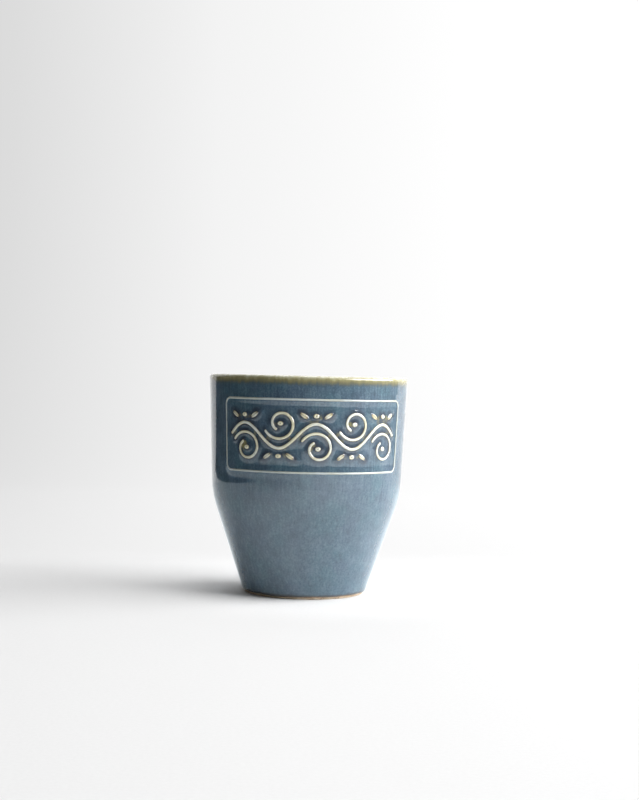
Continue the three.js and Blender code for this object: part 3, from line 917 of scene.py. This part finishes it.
def endless_paper():
    """White paper, lit at the mug's foot, that glows with painted light further off, greyed by a
    painted shade to the left.
    """
    material, tree, shader, place, rightward, backward = new_paper("endless_paper")
    tone = ramp(tree, noise(tree, place, PAPER_FIBRES_PER_METRE, detail=2), *PAPER_SHADES)
    distance = add(tree, "ShaderNodeVectorMath", {0: place}, operation="LENGTH").outputs["Value"]
    # Behind the mug the paper glows fully, in the painted shade's greys.
    behind = span(tree, backward, *PAINTED_SHADE_DEPTH)
    far = span(tree, distance, *GLOW_REACH)
    # Painted light: a little off the foot the paper glows in part, lightening the shadow there, and
    # fully further off.
    near = math_node(tree, "MULTIPLY", span(tree, distance, *CONTACT_REACH), FLOOR_GLOW)
    glow = math_node(tree, "MAXIMUM", math_node(tree, "MAXIMUM", near, far), behind)
    # Painted shade: the glow turns grey to the mug's left, darkest some 0.4 m off and white again far
    # to the left and a little to the right.
    painted_shade = ramp(tree, span(tree, rightward, *PAINTED_SHADE_REACH, smooth=False), *PAINTED_SHADE)
    tree.links.new(mixed(tree, glow, tone, BLACK), shader.inputs["Base Color"])
    floor = mixed(tree, far, mixed(tree, FLOOR_GLOW_GREY, BLACK, painted_shade), WHITE)
    tree.links.new(mixed(tree, behind, floor, painted_shade), shader.inputs["Emission Color"])
    tree.links.new(glow, shader.inputs["Emission Strength"])
    return material


def painted_light_paper():
    """Paper painted with light and shade for the glaze to mirror: on the table brightest a little to
    the mug's right and greyer to either side, on the wall greyer to the right.
    """
    material, tree, shader, _, rightward, backward = new_paper("painted_light_paper")
    # Painted light and shade: the table's and the wall's greys change from left to right.
    along = span(tree, rightward, *PAINTED_LIGHT_REACH, smooth=False)
    table, wall = ramp(tree, along, *TABLE_PAINTED_LIGHT), ramp(tree, along, *WALL_PAINTED_LIGHT)
    tone = mixed(tree, span(tree, backward, *WALL_REACH), table, wall)
    tree.links.new(tone, shader.inputs["Base Color"])
    return material


def paper_sweep(name, paper, drop, front, floor_sides, wall_sides):
    """A sheet of paper a little under the foot, along the table and up the wall in one bend."""
    bend = arc(SWEEP_BACK - SWEEP_BEND, SWEEP_BEND, SWEEP_BEND + drop, -right_angle, 0, SWEEP_STEPS)
    rows = np.array([(front, -drop), *bend, (SWEEP_BACK + drop, SWEEP_TOP)])
    up_wall = np.array([0, *np.linspace(0, 1, len(bend)), 1])
    bpy.ops.object.select_all(action="DESELECT")
    bpy.ops.mesh.primitive_grid_add(x_subdivisions=1, y_subdivisions=len(rows) - 1, size=2)
    sheet = bpy.context.object
    sheet.name = name
    x, y, _ = points_of(sheet).T
    row = np.rint((y + 1) / 2 * (len(rows) - 1)).astype(int)
    left, right = (
        floor + (wall - floor) * up_wall[row] for floor, wall in zip(floor_sides, wall_sides)
    )
    places = np.stack([np.where(x < 0, left, right), *rows[row].T], -1)
    sheet.data.vertices.foreach_set("co", places.ravel())
    sheet.data.update()
    bpy.ops.object.shade_smooth()
    sheet.data.materials.append(paper)
    return sheet


seen_sheet = paper_sweep(
    "paper_sweep", endless_paper(), SHEET_DROP, SHEET_FRONT, SHEET_SIDES, SHEET_SIDES
)
seen_sheet.visible_glossy = False
seen_sheet.visible_diffuse = False
seen_sheet.visible_shadow = False
mirrored_sheet = paper_sweep(
    "table_sweep", painted_light_paper(), TABLE_DROP, TABLE_FRONT, TABLE_SIDES, BACKDROP_SIDES
)
mirrored_sheet.visible_camera = False


def soft_light(name, location, target, size, power):
    """A large soft light, aimed at a place and out of the camera's sight."""
    light = bpy.data.lights.new(name, "AREA")
    light.shape = "RECTANGLE"
    light.size, light.size_y = size
    light.energy = power
    lamp = bpy.data.objects.new(name, light)
    lamp.location = location
    aim = lamp.location - target
    lamp.rotation_euler = aim.to_track_quat("Z", "Y").to_euler()
    lamp.visible_camera = False
    bpy.context.scene.collection.objects.link(lamp)


mug_middle = (cad_box[0] + cad_box[1]) / 2
soft_light("window", WINDOW_PLACE, mug_middle, WINDOW_SIZE, WINDOW_POWER)
soft_light("overhead", OVERHEAD_PLACE, mug_middle, OVERHEAD_SIZE, OVERHEAD_POWER)

world = bpy.data.worlds.new("room")
world.use_nodes = True
tree = world.node_tree
tree.nodes.clear()
way = add(tree, "ShaderNodeTexCoord").outputs["Generated"]
rightward = add(tree, "ShaderNodeSeparateXYZ", {"Vector": way}).outputs["X"]
room = ramp(tree, span(tree, rightward, -1, 1, smooth=False), *ROOM_TONES)
seen = add(tree, "ShaderNodeLightPath").outputs["Is Camera Ray"]
shown = mixed(tree, seen, room, WHITE)
background = add(tree, "ShaderNodeBackground", {"Color": shown})
add(tree, "ShaderNodeOutputWorld", {"Surface": background.outputs[0]})
bpy.context.scene.world = world
bpy.context.scene.view_settings.view_transform = "Standard"

# The camera: at the lip's height, so that the rim is seen edge on, and a little to the left of the
# panel's middle. It is pitched, turned and rolled slightly, as one held in the hand.
CAMERA_LENS = 65
CAMERA_NEAR = 0.01
CAMERA_DISTANCE = 0.57
CAMERA_AZIMUTH = math.radians(-4.8)
CAMERA_PITCH = math.radians(0.955)
CAMERA_YAW = math.radians(0.43)
CAMERA_ROLL = math.radians(1.35)
camera = bpy.data.cameras.new("camera")
camera.lens = CAMERA_LENS
camera.clip_start = CAMERA_NEAR
viewer = bpy.data.objects.new("camera", camera)
viewer.location = (
    CAMERA_DISTANCE * math.sin(CAMERA_AZIMUTH),
    -CAMERA_DISTANCE * math.cos(CAMERA_AZIMUTH),
    HEIGHT,
)
viewer.rotation_euler = (right_angle - CAMERA_PITCH, -CAMERA_ROLL, CAMERA_AZIMUTH - CAMERA_YAW)
bpy.context.scene.collection.objects.link(viewer)
bpy.context.scene.camera = viewer
